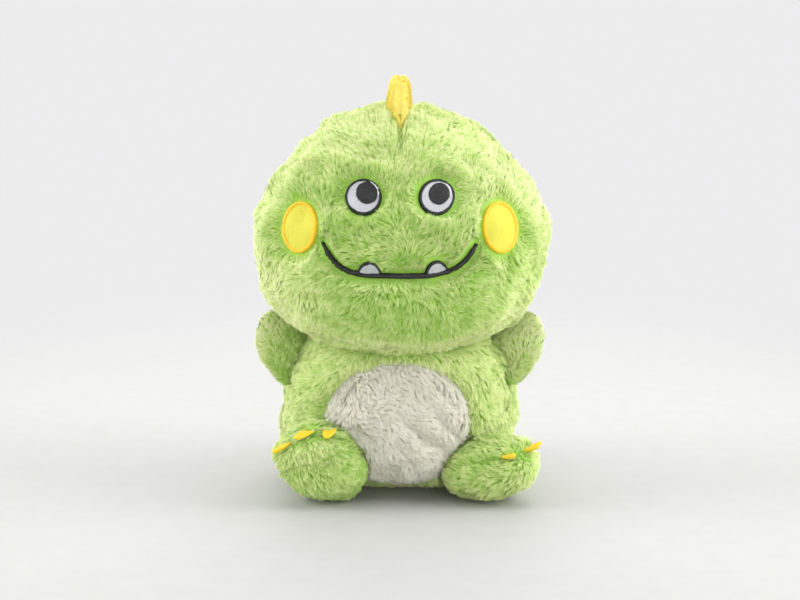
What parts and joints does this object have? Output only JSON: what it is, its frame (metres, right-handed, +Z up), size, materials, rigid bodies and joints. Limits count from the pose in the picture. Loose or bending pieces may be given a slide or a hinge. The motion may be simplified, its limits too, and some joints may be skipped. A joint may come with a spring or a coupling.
{
  "type": "stuffed toy dinosaur",
  "caption": "Seated plush dinosaur with a round crested head, spiked back, flipper arms, egg-shaped feet, a stub tail and a hanging loop.",
  "frame": {"origin": "on the floor under the middle of the toy's bounding box, where its base rests", "axes": "+Z up; -Y is the way the face looks; +X is the toy's own left side"},
  "size_m": [0.208, 0.2519, 0.2982],
  "materials": {
    "lime_plush": "long soft pile",
    "white_plush": "long soft pile",
    "yellow_velboa": "short pile",
    "amber_satin": "satin stitch",
    "grey_satin": "satin stitch",
    "black_satin": "satin stitch",
    "white_satin": "satin stitch",
    "fibre_fill": "loose polyester fibre",
    "clear_cord": "smooth, slightly clear"
  },
  "bodies": {
    "torso": {"body_left": "lime_plush", "body_right": "lime_plush", "body_base": "lime_plush", "belly_patch": "white_plush", "body_stuffing": "fibre_fill", "back_spike_upper_shell": "yellow_velboa", "back_spike_upper_stuffing": "fibre_fill", "back_spike_lower_shell": "yellow_velboa", "back_spike_lower_stuffing": "fibre_fill"},
    "neck": {"neck_stuffing": "fibre_fill"},
    "head": {"face_panel": "lime_plush", "head_back_left": "lime_plush", "head_back_right": "lime_plush", "head_stuffing": "fibre_fill", "eye_left_white": "grey_satin", "eye_left_outline": "black_satin", "eye_left_pupil": "black_satin", "eye_left_glint": "white_satin", "eye_right_white": "grey_satin", "eye_right_outline": "black_satin", "eye_right_pupil": "black_satin", "eye_right_glint": "white_satin", "cheek_left_patch": "yellow_velboa", "cheek_left_border": "amber_satin", "cheek_right_patch": "yellow_velboa", "cheek_right_border": "amber_satin", "mouth_line": "black_satin", "tooth_left": "grey_satin", "tooth_right": "grey_satin", "tooth_outlines": "black_satin", "crest_shell": "yellow_velboa", "crest_stuffing": "fibre_fill", "nape_spike_upper_shell": "yellow_velboa", "nape_spike_upper_stuffing": "fibre_fill", "nape_spike_lower_shell": "yellow_velboa", "nape_spike_lower_stuffing": "fibre_fill", "hanging_loop": "clear_cord"},
    "tail": {"tail_left": "lime_plush", "tail_right": "lime_plush", "tail_stuffing": "fibre_fill"},
    "arm_left": {"arm_left_front": "lime_plush", "arm_left_back": "lime_plush", "arm_left_stuffing": "fibre_fill"},
    "arm_right": {"arm_right_front": "lime_plush", "arm_right_back": "lime_plush", "arm_right_stuffing": "fibre_fill"},
    "foot_left": {"foot_left_upper": "lime_plush", "foot_left_sole": "lime_plush", "foot_left_stuffing": "fibre_fill", "foot_left_claws": "amber_satin"},
    "foot_right": {"foot_right_upper": "lime_plush", "foot_right_sole": "lime_plush", "foot_right_stuffing": "fibre_fill", "foot_right_claws": "amber_satin"}
  },
  "joints": [
    {"name": "head_turn", "type": "hinge", "parent": "torso", "child": "neck", "pos_m": [0, -0.031, 0.12], "axis": [0, -0.1736, 0.9848], "range_deg": [-15, 15]},
    {"name": "head_nod", "type": "hinge", "parent": "neck", "child": "head", "pos_m": [0, -0.031, 0.12], "axis": [1, 0, 0], "range_deg": [-8, 8]},
    {"name": "arm_left_flap", "type": "hinge", "parent": "torso", "child": "arm_left", "pos_m": [0.077, -0.04, 0.095], "axis": [0.4186, -0.197, -0.8865], "range_deg": [-35, 35]},
    {"name": "arm_right_flap", "type": "hinge", "parent": "torso", "child": "arm_right", "pos_m": [-0.077, -0.04, 0.095], "axis": [0.4186, 0.197, 0.8865], "range_deg": [-35, 35]},
    {"name": "foot_left_flex", "type": "hinge", "parent": "torso", "child": "foot_left", "pos_m": [0.0523, -0.062, 0.0212], "axis": [-0.6428, -0.766, 0], "range_deg": [-10, 10]},
    {"name": "foot_right_flex", "type": "hinge", "parent": "torso", "child": "foot_right", "pos_m": [-0.0492, -0.0668, 0.027], "axis": [-0.9397, 0.342, 0], "range_deg": [-10, 10]},
    {"name": "tail_wag", "type": "hinge", "parent": "torso", "child": "tail", "pos_m": [0, 0.079, 0.025], "axis": [0, 0, 1], "range_deg": [-20, 20]}
  ]
}
